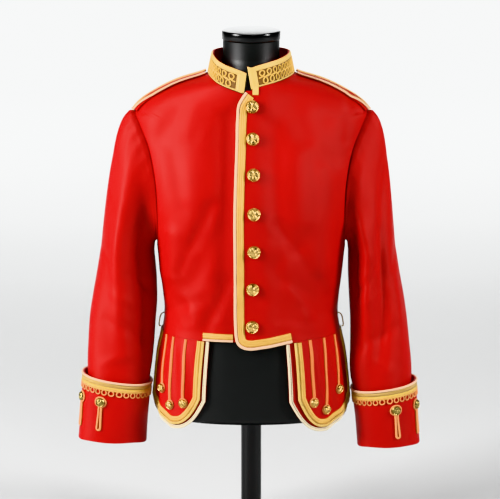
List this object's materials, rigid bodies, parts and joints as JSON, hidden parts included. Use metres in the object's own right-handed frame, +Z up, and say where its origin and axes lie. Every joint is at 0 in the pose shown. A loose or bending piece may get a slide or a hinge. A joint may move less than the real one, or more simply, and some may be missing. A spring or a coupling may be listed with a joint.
{
  "type": "pipe band doublet on a dress form",
  "caption": "Short fitted red wool doublet with stand collar, gold braid edges, deep cuffs and skirt flaps, worn on a limbless torso form with a pole and round base.",
  "frame": {"origin": "centre of the base's underside", "axes": "+Z up; the doublet's front faces -Y; the wearer's left is +X"},
  "size_m": [0.672, 0.3, 1.025],
  "materials": {
    "red_wool": "fulled wool cloth, matt with a short nap",
    "gold_braid": "flat woven braid of metallic gold thread",
    "peach_braid": "narrow ribbed braid, soft sheen",
    "brass": "polished, slightly worn",
    "black_form": "smooth close-fitting black cover",
    "black_gloss": "glossy black"
  },
  "bodies": {
    "root": {"back": "red_wool", "belt_hook_left": "brass", "belt_hook_right": "brass", "collar": "red_wool", "collar_braid": "gold_braid", "cuff_braid_left": "gold_braid", "cuff_braid_right": "gold_braid", "cuff_button_left_1": "gold_braid", "cuff_button_left_2": "gold_braid", "cuff_button_right_1": "gold_braid", "cuff_button_right_2": "gold_braid", "cuff_left": "red_wool", "cuff_right": "red_wool", "flap_bar_left_1": "peach_braid", "flap_bar_left_2": "peach_braid", "flap_bar_left_3": "peach_braid", "flap_bar_right_1": "peach_braid", "flap_bar_right_2": "peach_braid", "flap_bar_right_3": "peach_braid", "flap_braid_left_back": "gold_braid", "flap_braid_left_under": "gold_braid", "flap_braid_left_upper": "gold_braid", "flap_braid_right_back": "gold_braid", "flap_braid_right_under": "gold_braid", "flap_braid_right_upper": "gold_braid", "flap_left_back": "red_wool", "flap_left_under": "red_wool", "flap_left_upper": "red_wool", "flap_right_back": "red_wool", "flap_right_under": "red_wool", "flap_right_upper": "red_wool", "form_base": "black_gloss", "form_cap": "black_gloss", "form_pole": "black_gloss", "form_torso": "black_form", "front_braid_left": "gold_braid", "front_button_1": "brass", "front_button_2": "brass", "front_button_3": "brass", "front_button_4": "brass", "front_button_5": "brass", "front_button_6": "brass", "front_button_7": "brass", "front_left": "red_wool", "front_right": "red_wool", "hem_braid_right": "gold_braid", "shoulder_strap_left": "red_wool", "shoulder_strap_right": "red_wool", "sleeve_left": "red_wool", "sleeve_right": "red_wool"}
  },
  "joints": []
}
